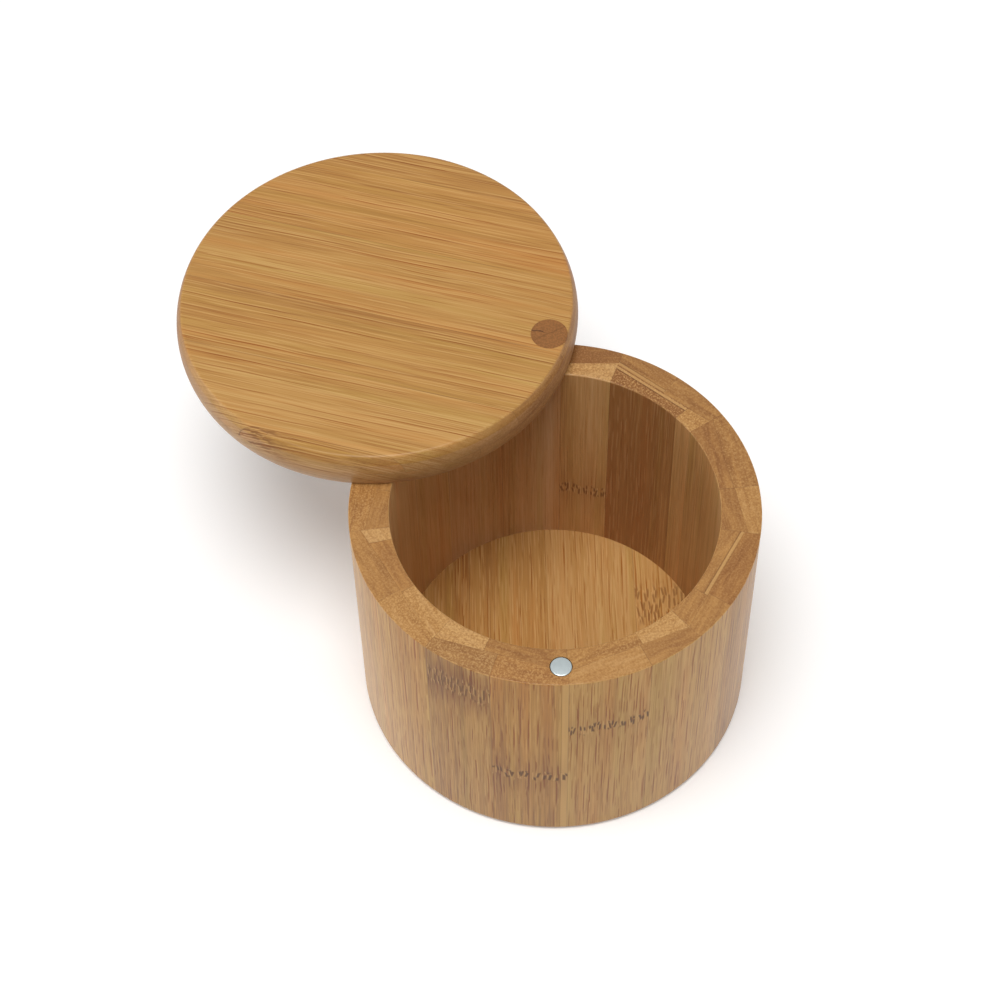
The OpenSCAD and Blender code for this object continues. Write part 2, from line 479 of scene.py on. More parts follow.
class Finish:
    """How one face of the box was worked: its streaks, veins and pale silk, its oil, and its tint, which on the
    inside walls is painted light.

    draw is how much longer than usual its veins run, skirt the height above the ply line, in
    millimetres, that the painted reflection of the pale floor, a greyer band on the lid's lower side,
    reaches, and wear how pale the eased edges are, partly rubbed pale and partly a painted highlight.
    """

    def __init__(self, streaks, veins, silk, tint, oil, oil_roughness, draw=1.0, skirt=0.0,
                 wear_and_highlight=0.0):
        self.streaks = streaks
        self.veins = veins
        self.silk = silk
        self.tint = tint
        self.oil = oil
        self.oil_roughness = oil_roughness
        self.draw = draw
        self.skirt = skirt
        self.wear_and_highlight = wear_and_highlight


FINISHES = {
    "bamboo_outside": Finish(1.0, 1.5, 0.35, (1.01, 1.01, 0.87), 0.22, 0.16, wear_and_highlight=0.6),
    # The inside tint is painted light: it makes the inside walls lighter and much bluer, standing in for bounce
    # light and a pale reflection inside the box
    "bamboo_inside": Finish(0.6, 0.35, 0.2, (1.18, 1.29, 1.75), 0.22, 0.16, wear_and_highlight=0.45),
    "bamboo_floor": Finish(0.5, 0.9, 0.6, (1.01, 1.02, 1.05), 0.22, 0.16),
    "bamboo_lid": Finish(0.6, 1.0, 0.6, (0.96, 0.97, 0.92), 0.2, 0.4, 2.5, 2.6),
    "bamboo_lid_under": Finish(0.6, 0.6, 0.4, (0.96, 0.97, 0.92), 0.2, 0.4, 2.5, FAR),
}


def look_of(node):
    """A strip's look; one that the photo doesn't show draws its own."""
    if node in LOOKS:
        return LOOKS[node]
    dice = random.Random(node)
    node_at = dice.uniform(0.1, 0.9) * RIM_Z if dice.random() < 0.3 else None
    return Look(dice.uniform(-0.1, 0.12), dice.uniform(-0.2, 0.2), dice.uniform(0, 0.4), node_at)


def store(mesh, name, rows):
    """Stores three numbers for each corner."""
    layer = mesh.attributes.new(name, "FLOAT_VECTOR", "POINT")
    layer.data.foreach_set("vector", rows.astype(np.float32).ravel())


def lay_grain(piece, node, origin, across, along, depth, joints):
    """Stores where each corner lies in its strip, in millimetres, for the wood to read.

    joints are the planes (point, normal) of the strip's glue lines.
    """
    mesh = piece.data
    look = look_of(node)
    dice = random.Random(node + " grain")
    at = points_of(mesh)
    count = len(at)
    place = (at - np.array(origin)) / MM @ np.array([across, along, depth]).T
    shift = np.array([dice.uniform(50, 400) for _ in range(3)])
    store(mesh, "grain", place + shift)

    gaps = np.full((count, 3), FAR)
    for k, (point, normal) in enumerate(joints):
        gaps[:, k] = ((at - np.array(point)) @ np.array(normal)) / MM
    store(mesh, "joint", gaps)

    marks = np.tile([FAR, look.spread, look.stain], (count, 1))
    if look.node is not None:
        marks[:, 0] = place[:, 1] - look.node / MM
    store(mesh, "mark", marks)
    store(mesh, "trim", np.tile([look.ticks, look.seam, look.fringe], (count, 1)))
    store(mesh, "tone", np.tile([look.shade, look.warmth, look.pallor], (count, 1)))

    mesh.shade_smooth()
    mesh.set_sharp_from_angle(angle=WOOD_CREASE)
    normals = np.array([n.vector for n in mesh.corner_normals])
    end = mesh.attributes.new("endgrain", "FLOAT", "CORNER")
    facing = np.abs(normals @ np.array(along))
    end.data.foreach_set("value", facing.astype(np.float32))


def settle(piece, body, slot, material, *nodes):
    """Gives a finished piece its material and body, and hides the CAD nodes that it stands for; slot is not used.
    """
    piece.data.materials.clear()
    piece.data.materials.append(material)
    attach(piece, body)
    if nodes:
        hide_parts(*nodes)


def slot_of(node):
    """The record's material slot of a CAD node."""
    return next(part["material_slot"] for part in frame["record"]["subparts"] if part["node"] == node)


# Shader maths

class Signal:
    """A shader socket that arithmetic acts on; each operator adds its Math node."""

    def __init__(self, tree, socket=None):
        self.tree = tree
        self.socket = socket

    def add(self, kind, settings=None, values=None, output=0):
        """Adds any node: its settings are set first, then the values or links of its sockets."""
        node = self.tree.nodes.new(kind)
        for name, value in (settings or {}).items():
            if name == "stops":
                set_stops(node.color_ramp, value)
            else:
                setattr(node, name, value)
        for name, value in (values or {}).items():
            if isinstance(value, Signal):
                self.tree.links.new(value.socket, node.inputs[name])
            else:
                node.inputs[name].default_value = value
        return Signal(self.tree, node.outputs[output])

    def math(self, operation, *values):
        return self.add(
            "ShaderNodeMath", {"operation": operation}, dict(enumerate((self,) + values)))

    def __add__(self, other):
        return self.math("ADD", other)

    __radd__ = __add__

    def __sub__(self, other):
        return self.math("SUBTRACT", other)

    def __rsub__(self, other):
        return self.add("ShaderNodeMath", {"operation": "SUBTRACT"}, {0: other, 1: self})

    def __mul__(self, other):
        return self.math("MULTIPLY", other)

    __rmul__ = __mul__

    def __truediv__(self, other):
        return self.math("DIVIDE", other)

    def __rtruediv__(self, other):
        return self.add("ShaderNodeMath", {"operation": "DIVIDE"}, {0: other, 1: self})

    def __abs__(self):
        return self.math("ABSOLUTE")

    def least(self, other):
        return self.math("MINIMUM", other)

    def most(self, other):
        return self.math("MAXIMUM", other)

    def ramp(self, low, high):
        """0 below low, 1 above high, smooth between."""
        return self.add(
            "ShaderNodeMapRange", {"interpolation_type": "SMOOTHSTEP"},
            {"Value": self, "From Min": low, "From Max": high})

    def stretch(self, by):
        """This vector, scaled along its own axes."""
        return self.add("ShaderNodeVectorMath", {"operation": "MULTIPLY"}, {0: self, 1: by})

    def shift(self, by):
        """This vector, moved."""
        return self.add("ShaderNodeVectorMath", {"operation": "ADD"}, {0: self, 1: by})

    def of(self, output):
        """Another output of the node that this signal comes from."""
        return Signal(self.tree, self.socket.node.outputs[output])

    def parts(self):
        """The three numbers of a vector or a colour."""
        split = self.add("ShaderNodeSeparateXYZ", {}, {0: self})
        return [split.of(axis) for axis in "XYZ"]

    def noise(self, detail=2.0, roughness=0.5, distortion=0.0):
        return self.add(
            "ShaderNodeTexNoise", {},
            {"Vector": self, "Scale": 1.0, "Detail": detail, "Roughness": roughness,
             "Distortion": distortion})


def set_stops(ramp, stops):
    while len(ramp.elements) < len(stops):
        ramp.elements.new(0.5)
    for element, (position, colour) in zip(ramp.elements, stops):
        element.position = position
        element.color = (*colour, 1)


def opaque(colour):
    """A plain colour with its alpha, as a socket wants it; a signal stays itself."""
    return colour if isinstance(colour, Signal) else (*colour, 1)


def mixed(factor, low, high, blend="MIX"):
    """A colour between two colours."""
    any_signal = next(value for value in (factor, low, high) if isinstance(value, Signal))
    return any_signal.add(
        "ShaderNodeMix", {"data_type": "RGBA", "blend_type": blend},
        {0: factor, 6: opaque(low), 7: opaque(high)}, 2)


def tinted(colour, tint, amount):
    """colour multiplied by tint, by amount."""
    return mixed(amount, colour, tint, "MULTIPLY")


def bump(shader, height, distance):
    """Gives the shader a relief of height times distance."""
    feed(shader, "Normal", height.add(
        "ShaderNodeBump", {}, {"Strength": 1.0, "Distance": distance, "Height": height}))


def new_material(name):
    """A material with a bare Principled shader, and a Signal to start its nodes from."""
    material = bpy.data.materials.new(name)
    material.use_nodes = True
    tree = material.node_tree
    shader = tree.nodes["Principled BSDF"]
    return material, shader, Signal(tree)


def feed(shader, name, signal):
    """Links a signal to one of the shader's sockets."""
    signal.tree.links.new(signal.socket, shader.inputs[name])


def attribute(start, name, output="Vector"):
    """What lay_grain stored under this name."""
    return start.add("ShaderNodeAttribute", {"attribute_name": name}, {}, output)


def cells(across, along, wide, long):
    """Scattered points on a face cut along the grain, one in each cell of wide by long millimetres.

    Returns the distance from the nearest one across the grain, in millimetres, and along it, in
    cells, and a number of its own for each.
    """
    u, v = across / wide, along / long
    place = across.add("ShaderNodeCombineXYZ", {}, {"X": u, "Y": v})
    cell = place.add(
        "ShaderNodeTexVoronoi", {"voronoi_dimensions": "2D"}, {"Vector": place, "Scale": 1.0})
    middle_u, middle_v, _ = cell.of("Position").parts()
    return (u - middle_u) * wide, v - middle_v, cell.of("Color").parts()[0]


def dashes(across, along, wide, long, thickness):
    """Thin lines along the grain, of uneven strength, and the pale edge beside each."""
    aside, beyond, chance = cells(across, along, wide, long)
    strength = (1 - abs(beyond).ramp(0.2, 0.5)) * chance.ramp(0.1, 0.8)
    line = 1 - abs(aside).ramp(thickness * 0.4, thickness)
    edge = 1 - abs(aside - thickness * 1.4).ramp(thickness * 0.4, thickness)
    return line * strength, edge * strength


# Tints that the wood's colour is multiplied by
RUDDY = (1.04, 0.94, 0.88)
GREENISH = (0.95, 1.0, 0.9)
VEIN = (0.62, 0.4, 0.17)
STAIN = (0.67, 0.57, 0.53)
BUTT = (0.88, 0.85, 0.88)
PORE = (0.62, 0.52, 0.42)
# Painted reflection of the pale floor on the lid's oiled lower side: a greyer, bluer tint
FLOOR_REFLECTION_TINT = (0.98, 1.03, 1.4)
WARM = (1.1, 0.9, 0.78)
COOL = (0.93, 0.98, 1.12)


class Strip:
    """Where a point lies in its strip, in millimetres, and how the strip looks, as signals."""

    def __init__(self, start):
        self.grain = attribute(start, "grain")
        self.across, self.along, self.depth = self.grain.parts()
        self.shade, self.warmth, self.pallor = attribute(start, "tone").parts()
        self.first, self.second, self.ply = attribute(start, "joint").parts()
        self.height, self.spread, self.stain = attribute(start, "mark").parts()
        self.bite, self.seam, self.fringe = attribute(start, "trim").parts()
        self.facing = attribute(start, "endgrain", "Fac")
        self.end = self.facing.ramp(0.45, 0.95)
        self.side = 1 - self.end
        self.fibres = self.grain.stretch((1.9, 0.016, 1.9)).noise(3, 0.6)
        self.fine = self.grain.stretch((6.0, 0.06, 6.0)).noise(2, 0.6)
        self.off = self.height + (self.grain.stretch((0.3, 0.0, 0.3)).noise(2) - 0.5) * 5.0


def streaked(strip, finish, stops):
    """Slow drift, broad bands, fibres and fine lines, each longer than it is wide, as a colour."""
    drift = strip.grain.stretch((0.11, 0.006, 0.11)).noise(2)
    bands = strip.grain.stretch((0.45, 0.007, 0.45)).noise(3, 0.55)
    streaks = ((strip.fibres - 0.5) * (0.8 * finish.streaks)
               + (strip.fine - 0.5) * (1.1 * finish.streaks))
    level = 0.5 + (drift - 0.5) * 0.5 + (bands - 0.5) * 0.55 + streaks + strip.shade * 0.45
    colour = level.add("ShaderNodeValToRGB", {"stops": stops}, {"Fac": level})
    hue = strip.grain.shift((31.0, 0.0, 17.0)).stretch((0.3, 0.01, 0.3)).noise(1)
    colour = tinted(colour, RUDDY, hue.ramp(0.5, 0.75) * 0.9)
    return tinted(colour, GREENISH, (1 - hue).ramp(0.5, 0.75) * 0.9)


def veined(strip, finish, colour, wood):
    """Adds dark veins and pale silk; returns the colour and the veins' grooves."""
    # A slanting coordinate keeps the veins from smearing on faces of either direction
    sway = (strip.grain.stretch((0.15, 0.05, 0.15)).noise(1) - 0.5) * 0.8
    slant = strip.across + strip.depth * 0.7 + sway
    run = strip.along / finish.draw
    vein, vein_edge = dashes(slant, run, 1.5, 18.0, 0.22)
    hair, _ = dashes(slant, run + 5.0, 0.8, 7.0, 0.19)
    silk, _ = dashes(slant + 40.0, run, 0.8, 9.0, 0.2)
    near = 1 - abs(strip.off).ramp(0.0, 14.0)
    clear = (strip.second - strip.fringe + 0.2).ramp(0.0, 0.2)
    dark = (vein * 0.9 + hair * 0.55) * finish.veins * (0.75 + near * 0.6)
    colour = tinted(colour, VEIN, dark * strip.side * clear)
    colour = mixed(silk.most(vein_edge) * strip.side * finish.silk, colour, wood.pale)
    colour = mixed((1 - clear) * strip.side * 0.85, colour, wood.pale)
    return colour, (vein + hair * 0.5) * strip.side


def noded(strip, colour, wood):
    """Adds a node of the cane, a stained band with ragged dark ticks; returns the ticks too."""
    smudge = (1 - abs(strip.off + (strip.fibres - 0.5) * 14.0).ramp(1.0, 13.0)) * strip.stain
    colour = tinted(colour, STAIN, smudge * strip.side)
    aside, beyond, lean = cells(strip.across + strip.depth * 0.7, strip.off + 1.7, 1.0, 3.2)
    stroke = 1 - abs(aside + beyond * (lean - 0.5) * 1.6).ramp(0.13, 0.36)
    row = 1 - (abs(strip.off) / strip.spread).ramp(0.8, 1.5)
    ticks = stroke * (1 - abs(beyond).ramp(0.25, 0.5)) * row * strip.side
    # Pale glints beside the ticks: a painted highlight on the ticks' raised edges
    glint = (1 - abs(aside + 0.38).ramp(0.05, 0.2)) * row * strip.side
    colour = mixed(glint * 0.65, colour, wood.pale)
    mark = mixed(strip.bite, wood.brown, wood.scorch)
    return mixed(ticks * (0.6 + strip.bite * 0.4), colour, mark), ticks


def end_grain(strip, stops, wood):
    """The colour of a strip's ends, with packed bundles and pores; returns the pores too."""
    layers = strip.grain.stretch((0.1, 0.0, 0.8)).noise(3, 0.6, 0.4)
    pores = strip.grain.stretch((2.3, 0.01, 2.3)).noise(2, 0.75)
    level = 0.3 + (layers - 0.5) + strip.shade * 0.5 + strip.pallor * 0.35
    colour = level.add("ShaderNodeValToRGB", {"stops": stops}, {"Fac": level})
    colour = tinted(colour, BUTT, 1.0)
    colour = tinted(colour, PORE, pores.ramp(0.52, 0.66) * (0.3 + strip.pallor * 0.3))
    colour = mixed((1 - pores).ramp(0.5, 0.62) * (0.2 + strip.pallor * 0.6), colour, wood.pale)
    sliver = (1 - (strip.ply - 0.75).ramp(0.0, 0.2)) * (strip.ply - 0.15).ramp(0.0, 0.15)
    colour = mixed(sliver * strip.seam * 0.85, colour, wood.pale)
    crease = 1 - abs(strip.ply - 0.95).ramp(0.05, 0.2)
    return mixed(crease * strip.seam * 0.75, colour, wood.scorch), pores


def bamboo(name):
    """Oiled bamboo that reads where it is from the piece's own grain."""
    wood = bpy.context.scene.salt_box_wood
    finish = FINISHES[name]
    material, shader, start = new_material(name)
    strip = Strip(start)
    stops = [(0.1, wood.brown), (0.5, wood.honey), (0.9, wood.pale)]
    colour = streaked(strip, finish, stops)
    colour, grooves = veined(strip, finish, colour, wood)
    colour, ticks = noded(strip, colour, wood)
    butt, pores = end_grain(strip, stops, wood)
    colour = mixed(strip.end, tinted(colour, finish.tint, 1.0), butt)

    # Painted reflection of the pale floor, a greyer, bluer band on the lid's lower side, and how warm or cool the
    # strip is
    floor_reflection = 1 - (strip.ply - finish.skirt + 0.3).ramp(0.0, 0.3)
    colour = tinted(colour, FLOOR_REFLECTION_TINT, floor_reflection)
    colour = tinted(colour, WARM, strip.warmth.ramp(0, 0.5))
    colour = tinted(colour, COOL, (strip.warmth * -1.0).ramp(0, 0.5))

    # Eased edges made pale in places: partly rubbed pale, partly a painted highlight
    eased = strip.facing.ramp(0.15, 0.5) * (1 - strip.facing.ramp(0.8, 0.98))
    rubbed_and_lit = strip.grain.stretch((0.5, 0.5, 0.5)).noise(3, 0.7).ramp(0.42, 0.6)
    colour = mixed(eased * rubbed_and_lit * finish.wear_and_highlight, colour, wood.pale)

    # Glue lines
    gap = strip.first.least(strip.second).least(strip.ply * 1.5)
    line = 1 - gap.ramp(0.02, 0.13)
    uneven = strip.grain.stretch((0.3, 0.05, 0.3)).noise(2).ramp(0.4, 0.65)
    feed(shader, "Base Color", mixed(line * (0.08 + uneven * 0.4), colour, wood.scorch))

    feed(shader, "Roughness", wood.gloss + (strip.fine - 0.5) * 0.12 + strip.end * 0.12 + ticks * 0.1)
    relief = (strip.fibres * 0.4 + strip.fine * 0.6 - grooves * 0.9 - line * 1.2
              - ticks * 1.5 + pores * strip.end * 0.8)
    bump(shader, relief, wood.relief)
    shader.inputs["Specular IOR Level"].default_value = 0.2
    shader.inputs["Coat Weight"].default_value = finish.oil
    shader.inputs["Coat Roughness"].default_value = finish.oil_roughness
    return material


def end_grain_plug(name):
    """Dark end grain with fine pores and a few drying cracks."""
    wood = bpy.context.scene.salt_box_wood
    material, shader, start = new_material(name)
    grain = attribute(start, "grain")
    pores = grain.stretch((2.4, 0.02, 2.4)).noise(3, 0.65)
    colour = mixed(pores.ramp(0.35, 0.7), wood.plug, tuple(c * 1.45 for c in wood.plug))
    colour = mixed(pores.ramp(0.62, 0.75) * 0.6, colour, wood.scorch)
    first, second, _ = attribute(start, "joint").parts()
    wander = (grain.stretch((0.5, 0.5, 0.5)).noise(2) - 0.5) * 1.6
    crack = (1 - abs(first + wander).ramp(0.06, 0.26)) * second.ramp(0.3, 1.6)
    cross = (1 - abs(second * 0.7 + first * 0.7 + wander).ramp(0.05, 0.3)) * 0.5
    colour = mixed(crack * 0.9, colour, wood.scorch)
    colour = mixed(cross * 0.6, colour, wood.scorch)
    feed(shader, "Base Color", colour)
    feed(shader, "Roughness", 0.46 + pores * 0.15)
    bump(shader, pores * -0.6 - crack * 2.0, wood.relief)
    shader.inputs["Specular IOR Level"].default_value = 0.25
    return material


def bright_plate(name, colour, roughness):
    """Plated metal with faint scuffs."""
    material, shader, start = new_material(name)
    place = start.add("ShaderNodeTexCoord", {}, {}, "Object")
    cloud = place.stretch((900.0, 900.0, 900.0)).noise(2)
    scuffs = place.stretch((5200.0, 700.0, 5200.0)).noise(2, 0.6).ramp(0.55, 0.75)
    feed(shader, "Base Color", mixed(cloud.ramp(0.3, 0.7), colour, tuple(c * 0.93 for c in colour)))
    feed(shader, "Roughness", roughness + cloud * 0.06 + scuffs * 0.12)
    bump(shader, scuffs * -1.0 + cloud * 0.3, METAL_RELIEF)
    shader.inputs["Metallic"].default_value = 1.0
    return material


def material_named(name, make, *details):
    """The material of this name, made the first time that it is asked for."""
    return bpy.data.materials.get(name) or make(name, *details)


def bamboo_named(name):
    return material_named(name, bamboo)


# Wall strips

def strip_plan(node, inner):
    """A wall strip's two joint azimuths, and its ply line's normal and distance from the axis."""
    corners = points(node)
    radii = reach(corners)
    middle = math.atan2(corners[:, 1].mean(), corners[:, 0].mean())
    turn = np.arctan2(corners[:, 1], corners[:, 0]) - middle
    turn = (turn + math.pi) % (2 * math.pi) - math.pi
    low, high = turn.min(), turn.max()
    pick = max if inner else min
    ply = []
    for end in (low, high):
        near = np.abs(turn - end) < SAME_TURN
        ply.append(pick(radii[near]))
    start, stop = middle + low, middle + high
    a = Vector((ply[0] * math.cos(start), ply[0] * math.sin(start), 0))
    b = Vector((ply[1] * math.cos(stop), ply[1] * math.sin(stop), 0))
    normal = Vector((b.y - a.y, a.x - b.x, 0)).normalized()
    return start, stop, normal, a.dot(normal)


def wall_strip(node, inner):
    """One strip of the wall: a length of ring between two joints and the chord of its ply line."""
    sizes = bpy.context.scene.salt_box_sizes
    start, stop, normal, ply_r = strip_plan(node, inner)
    steps = max(2, round((stop - start) / sizes.arc_step))
    azimuths = [start + (stop - start) * k / steps for k in range(steps + 1)]
    n = sizes.edge_steps
    ease = sizes.rim_ease
    foot = arc(BODY_R - FOOT_R, FOOT_R, FOOT_R, -90, 0, n + FOOT_MORE_STEPS)
    rim = arc(BODY_R - ease, RIM_Z - ease, ease, 0, 90, n)
    inside = arc(BORE_R + sizes.bore_ease, RIM_Z - sizes.bore_ease, sizes.bore_ease, 90, 180, n)

    def profile_at(azimuth):
        chord = ply_r / (math.cos(azimuth) * normal.x + math.sin(azimuth) * normal.y)
        if inner:
            return (inside + [(BORE_R, FLOOR_Z), (FLOOR_R, FLOOR_Z), (FLOOR_R, 0), (chord, 0)]
                    + [(chord, RIM_Z)])
        return [(chord, 0)] + foot + rim + [(chord, RIM_Z)]

    piece = new_piece(node + ".wood", swept_ring(node, profile_at, azimuths))
    for at, radius, low in ((MAGNET_AT, MAGNET_R, MAGNET_LOW.z), (PIVOT, SCREW_HOLE_R, SCREW_LOW.z)):
        side = Vector((radius, radius, 0))
        if close_to(node, Vector((at.x, at.y, low)) - side, Vector((at.x, at.y, RIM_Z)) + side):
            tool = drum(at, radius, low, RIM_Z + OVERSHOOT)
            combine(piece, tool, "DIFFERENCE")
            discard(tool)

    across = Vector((-normal.y, normal.x, 0))
    joints = []
    for azimuth, sign in ((start, 1), (stop, -1)):
        radial = (math.cos(azimuth), math.sin(azimuth), 0)
        joints.append((radial, (-sign * radial[1], sign * radial[0], 0)))
    joints.append((normal * ply_r, -normal if inner else normal))
    lay_grain(piece, node, (0, 0, 0), across, (0, 0, 1), normal, joints)
    wood = bamboo_named("bamboo_inside" if inner else "bamboo_outside")
    settle(piece, "box", slot_of(node), wood, node)


# Boards: the floor and the lid

def board_piece(node, blank, origin, across, along, low, high, joints_z, body, material, holes):
    """One strip of a board: the blank cut at the strip's two joints and at its glue line."""
    place = (points(node) - np.array(origin)) @ np.array(across)
    edges = (place.min(), place.max())
    mesh = blank.copy()
    joints = [(Vector((FAR, 0, 0)), Vector((-1, 0, 0)))] * 3
    limit = (points_of(blank) - np.array(origin)) @ np.array(across)
    for k, (edge, sign, far) in enumerate(((edges[0], -1, limit.min()), (edges[1], 1, limit.max()))):
        if abs(edge - far) > NO_JOINT:
            at = Vector(origin) + Vector(across) * edge
            cut_away(mesh, at, Vector(across) * sign)
            joints[k] = (at, Vector(across) * -sign)
    for z, sign in joints_z:
        at = Vector((0, 0, z))
        cut_away(mesh, at, Vector((0, 0, sign)))
        joints[2] = (at, Vector((0, 0, -sign)))
    piece = new_piece(node + ".wood", mesh)
    for at, radius, base, top in holes:
        side = Vector((radius, radius, 0))
        if close_to(node, Vector((at.x, at.y, base)) - side, Vector((at.x, at.y, top)) + side):
            tool = drum(at, radius, base, top)
            combine(piece, tool, "DIFFERENCE")
            discard(tool)
    middle = Vector(origin) + Vector(across) * (edges[0] + edges[1]) / 2 + Vector((0, 0, (low + high) / 2))
    lay_grain(piece, node, middle, across, along, (0, 0, 1), joints)
    settle(piece, body, slot_of(node), material, node)


def lid_profile():
    """The lid's outline (r, z) from its axis at the bottom to its axis at the top."""
    sizes = bpy.context.scene.salt_box_sizes
    drop = LID_TOP_Z - BELLY_Z
    inset = LID_R - LID_FLAT_R
    radius = (drop * drop + inset * inset) / (2 * inset)
    centre = LID_R - radius
    ease = sizes.lid_ease
    start = math.degrees(math.asin((LID_LOW_Z - BELLY_Z) / radius))
    stop = math.degrees(math.asin((drop - ease) / (radius - ease)))
    side = arc(centre, BELLY_Z, radius, start, stop, LID_SIDE_STEPS)
    corner_r = centre + (radius - ease) * math.cos(math.radians(stop))
    corner = arc(corner_r, LID_TOP_Z - ease, ease, stop, 90, LID_CORNER_STEPS)
    return [(0, LID_LOW_Z)] + side + corner + [(0, LID_TOP_Z)]


class SALTBOX_OT_wall(Operator):
    """Build the glued strips of the turned wall"""
    bl_idname = "saltbox.wall"
    bl_label = "Wall strips"

    def execute(self, context):
        for node in OUTER:
            wall_strip(node, False)
        for node in INNER:
            wall_strip(node, True)
        return {"FINISHED"}


class SALTBOX_OT_floor(Operator):
    """Build the strips of the floor disc"""
    bl_idname = "saltbox.floor"
    bl_label = "Floor strips"

    def execute(self, context):
        profile = [(0, 0), (FLOOR_R, 0), (FLOOR_R, FLOOR_Z), (0, FLOOR_Z)]
        blank = turned("floor", profile, Vector((0, 0, 0)), FLOOR_STEPS)
        material = bamboo_named("bamboo_floor")
        for node in FLOOR:
            board_piece(node, blank, (0, 0, 0), (1, 0, 0), (0, 1, 0), 0, FLOOR_Z, [], "box", material, [])
        bpy.data.meshes.remove(blank)
        return {"FINISHED"}


class SALTBOX_OT_lid(Operator):
    """Build the two plies of the lid, with the well for the pivot"""
    bl_idname = "saltbox.lid"
    bl_label = "Lid strips"

    def execute(self, context):
        blank = turned("lid", lid_profile(), LID_CENTRE, LID_STEPS)
        shank_hole = (PIVOT, SHANK_HOLE_R, LID_LOW_Z - OVERSHOOT, LID_TOP_Z)
        well = (PIVOT, PLUG_R, LID_LOW_Z + WELL_FLOOR, LID_TOP_Z + OVERSHOOT)
        magnet_hole = (LID_MAGNET_AT, MAGNET_R, LID_LOW_Z - OVERSHOOT, LID_MAGNET_HIGH.z)
        for nodes, low, high, joint, material in (
                (LID_TOP, LID_PLY_Z, LID_TOP_Z, (LID_PLY_Z, -1), bamboo_named("bamboo_lid")),
                (LID_UNDER, LID_LOW_Z, LID_PLY_Z, (LID_PLY_Z, 1), bamboo_named("bamboo_lid_under"))):
            for node in nodes:
                board_piece(
                    node, blank, LID_CENTRE, LID_ACROSS, LID_GRAIN, low, high, [joint], "lid",
                    material, [shank_hole, well, magnet_hole])
        bpy.data.meshes.remove(blank)
        return {"FINISHED"}


class SALTBOX_OT_plug(Operator):
    """Build the end-grain plug over the pivot"""
    bl_idname = "saltbox.plug"
    bl_label = "Pivot plug"

    def execute(self, context):
        blank = new_piece("blank", turned("blank", lid_profile(), LID_CENTRE, LID_STEPS))
        radius = PLUG_R - context.scene.salt_box_sizes.plug_gap
        piece = drum(PIVOT, radius, PLUG_LOW.z, LID_TOP_Z + OVERSHOOT)
        piece.name = "pivot_plug.wood"
        combine(piece, blank, "INTERSECT")
        discard(blank)
        joints = [(PIVOT, LID_ACROSS), (PIVOT, -LID_GRAIN)]
        lay_grain(piece, "pivot_plug", PIVOT, LID_ACROSS, (0, 0, 1), LID_GRAIN, joints)
        settle(piece, "lid", slot_of("pivot_plug"), material_named("plug_end_grain", end_grain_plug),
               "pivot_plug")
        return {"FINISHED"}


class SALTBOX_OT_magnets(Operator):
    """Build the two plated disc magnets"""
    bl_idname = "saltbox.magnets"
    bl_label = "Magnets"

    def execute(self, context):
        sizes = context.scene.salt_box_sizes
        plate = material_named("magnet_plate", bright_plate, (0.44, 0.49, 0.495), 0.28)
        radius = MAGNET_R - sizes.magnet_gap
        ease = sizes.magnet_ease
        for node, at, low, high, body in (
                ("rim_magnet", MAGNET_AT, MAGNET_LOW.z, MAGNET_HIGH.z, "box"),
                ("lid_magnet", LID_MAGNET_AT, LID_MAGNET_LOW.z, LID_MAGNET_HIGH.z, "lid")):
            profile = ([(0, low)] + arc(radius - ease, low + ease, ease, -90, 0, MAGNET_EDGE_STEPS)
                       + arc(radius - ease, high - ease, ease, 0, 90, MAGNET_EDGE_STEPS)
                       + [(0, high)])
            piece = new_piece(node + ".metal", turned(node, profile, Vector((at.x, at.y, 0)), MAGNET_STEPS))
            piece.data.shade_smooth()
            piece.data.set_sharp_from_angle(angle=METAL_CREASE)
            settle(piece, body, slot_of(node), plate, node)
        return {"FINISHED"}


class SALTBOX_OT_hardware(Operator):
    """Finish the pivot screw and its washer"""
    bl_idname = "saltbox.hardware"
    bl_label = "Pivot screw and washer"

    def execute(self, context):
        zinc = material_named("zinc_plate", bright_plate, (0.6, 0.6, 0.62), 0.32)
        for node in ("pivot_screw", "pivot_washer"):
            piece = frame["nodes"][node]
            piece.data.materials.clear()
            piece.data.materials.append(zinc)
        return {"FINISHED"}


# Stage

SENSOR_WIDTH = 36
CLIP_START = 10 * MM


def place_camera(stage):
    """The camera, set by its direction and distance from the middle of the rim."""
    camera = new_piece("camera", bpy.data.cameras.new("camera"))
    level = stage.distance * math.cos(stage.elevation)
    eye = Vector((
        level * math.cos(stage.azimuth), level * math.sin(stage.azimuth),
        RIM_Z + stage.distance * math.sin(stage.elevation)))
    aim = Vector((stage.aim_x, stage.aim_y, RIM_Z))
    turn = (aim - eye).to_track_quat("-Z", "Y").to_matrix().to_4x4()
    camera.matrix_world = Matrix.Translation(eye) @ turn @ Matrix.Rotation(stage.roll, 4, "Z")
    camera.data.lens = stage.lens
    camera.data.sensor_width = SENSOR_WIDTH
    camera.data.clip_start = CLIP_START
    bpy.context.scene.camera = camera


def seen_directly(start):
    """1 for rays that show the background: from the camera, in gloss and through glass."""
    path = start.add("ShaderNodeLightPath")
    return path.of("Is Camera Ray").most(path.of("Is Glossy Ray")).most(path.of("Is Transmission Ray"))


def grey(level):
    return opaque((level, level, level))


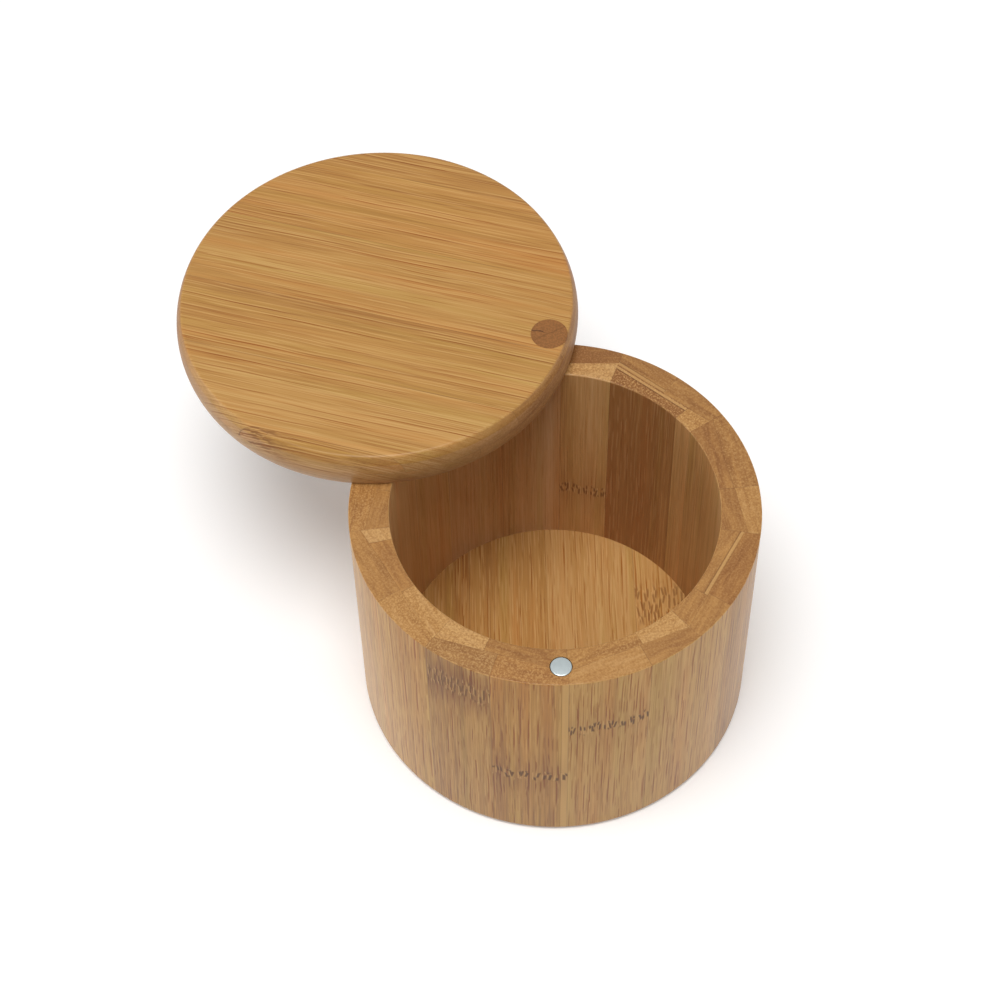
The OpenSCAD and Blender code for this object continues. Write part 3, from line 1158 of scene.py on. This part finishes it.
def pale_floor(stage):
    """A near-white floor that keeps the object's shadow."""
    material = bpy.data.materials.new("pale_floor")
    material.use_nodes = True
    tree = material.node_tree
    tree.nodes.remove(tree.nodes["Principled BSDF"])
    start = Signal(tree)
    matte = start.add("ShaderNodeBsdfDiffuse", {}, {"Color": grey(stage.ground_shade)})
    shown = start.add("ShaderNodeBsdfDiffuse", {}, {"Color": grey(stage.ground_seen)})
    lift = start.add("ShaderNodeEmission", {}, {"Color": grey(1), "Strength": stage.ground_lift})
    both = start.add("ShaderNodeAddShader", {}, {0: shown, 1: lift})
    out = start.add("ShaderNodeMixShader", {}, {0: seen_directly(start), 1: matte, 2: both})
    tree.links.new(out.socket, tree.nodes["Material Output"].inputs["Surface"])
    return material


def white_room(strength):
    """An even light of this strength, which rays that show the background see as white."""
    world = bpy.data.worlds.new("room")
    world.use_nodes = True
    bpy.context.scene.world = world
    tree = world.node_tree
    start = Signal(tree)
    level = seen_directly(start) * (1.0 - strength) + strength
    light = tree.nodes["Background"]
    light.inputs["Color"].default_value = grey(1)
    tree.links.new(level.socket, light.inputs["Strength"])


def add_lamp(name, at, size, power):
    """A round lamp that faces the box."""
    lamp = bpy.data.lights.new(name, "AREA")
    lamp.shape = "DISK"
    lamp.size = size
    lamp.energy = power
    new_piece(name, lamp).matrix_world = (
        Matrix.Translation(at) @ (-at).to_track_quat("-Z", "Y").to_matrix().to_4x4())


class SALTBOX_OT_stage(Operator):
    """Set the floor, the light and the camera"""
    bl_idname = "saltbox.stage"
    bl_label = "Stage"

    def execute(self, context):
        stage = context.scene.salt_box_stage
        place_camera(stage)
        half = stage.ground / 2
        corners = [(-half, -half, 0), (half, -half, 0), (half, half, 0), (-half, half, 0)]
        ground = new_piece("ground", mesh_from("ground", corners, [(0, 1, 2, 3)]))
        ground.location.z = -stage.ground_drop
        ground.data.materials.append(pale_floor(stage))
        white_room(stage.sky)
        add_lamp("key", Vector(stage.key_at), stage.key_size, stage.key)
        right = Vector(stage.fill_at)
        left = Vector((-right.x, right.y, right.z))
        add_lamp("left_fill", left, stage.fill_size, stage.left_fill)
        add_lamp("right_fill", right, stage.fill_size, stage.right_fill)
        context.scene.view_settings.view_transform = "Standard"
        return {"FINISHED"}


class SALTBOX_PT_panel(Panel):
    bl_label = "Salt Box"
    bl_idname = "SALTBOX_PT_panel"
    bl_space_type = "VIEW_3D"
    bl_region_type = "UI"
    bl_category = "Salt Box"

    def draw(self, context):
        for step in STEPS:
            self.layout.operator(step.bl_idname)
        for group in (context.scene.salt_box_wood, context.scene.salt_box_sizes,
                      context.scene.salt_box_stage):
            for name in group.__annotations__:
                self.layout.prop(group, name)


GROUPS = {"salt_box_wood": SaltBoxWood, "salt_box_sizes": SaltBoxSizes, "salt_box_stage": SaltBoxStage}
STEPS = (SALTBOX_OT_stage, SALTBOX_OT_wall, SALTBOX_OT_floor, SALTBOX_OT_lid, SALTBOX_OT_plug,
         SALTBOX_OT_magnets, SALTBOX_OT_hardware)


def register():
    for kind in (*GROUPS.values(), *STEPS, SALTBOX_PT_panel):
        bpy.utils.register_class(kind)
    for name, kind in GROUPS.items():
        setattr(bpy.types.Scene, name, PointerProperty(type=kind))


def unregister():
    for name in GROUPS:
        delattr(bpy.types.Scene, name)
    for kind in reversed((*GROUPS.values(), *STEPS, SALTBOX_PT_panel)):
        bpy.utils.unregister_class(kind)


def main():
    register()
    bpy.ops.saltbox.stage()
    bpy.ops.saltbox.wall()
    bpy.ops.saltbox.floor()
    bpy.ops.saltbox.lid()
    bpy.ops.saltbox.plug()
    bpy.ops.saltbox.magnets()
    bpy.ops.saltbox.hardware()


if __name__ == "__main__":
    main()
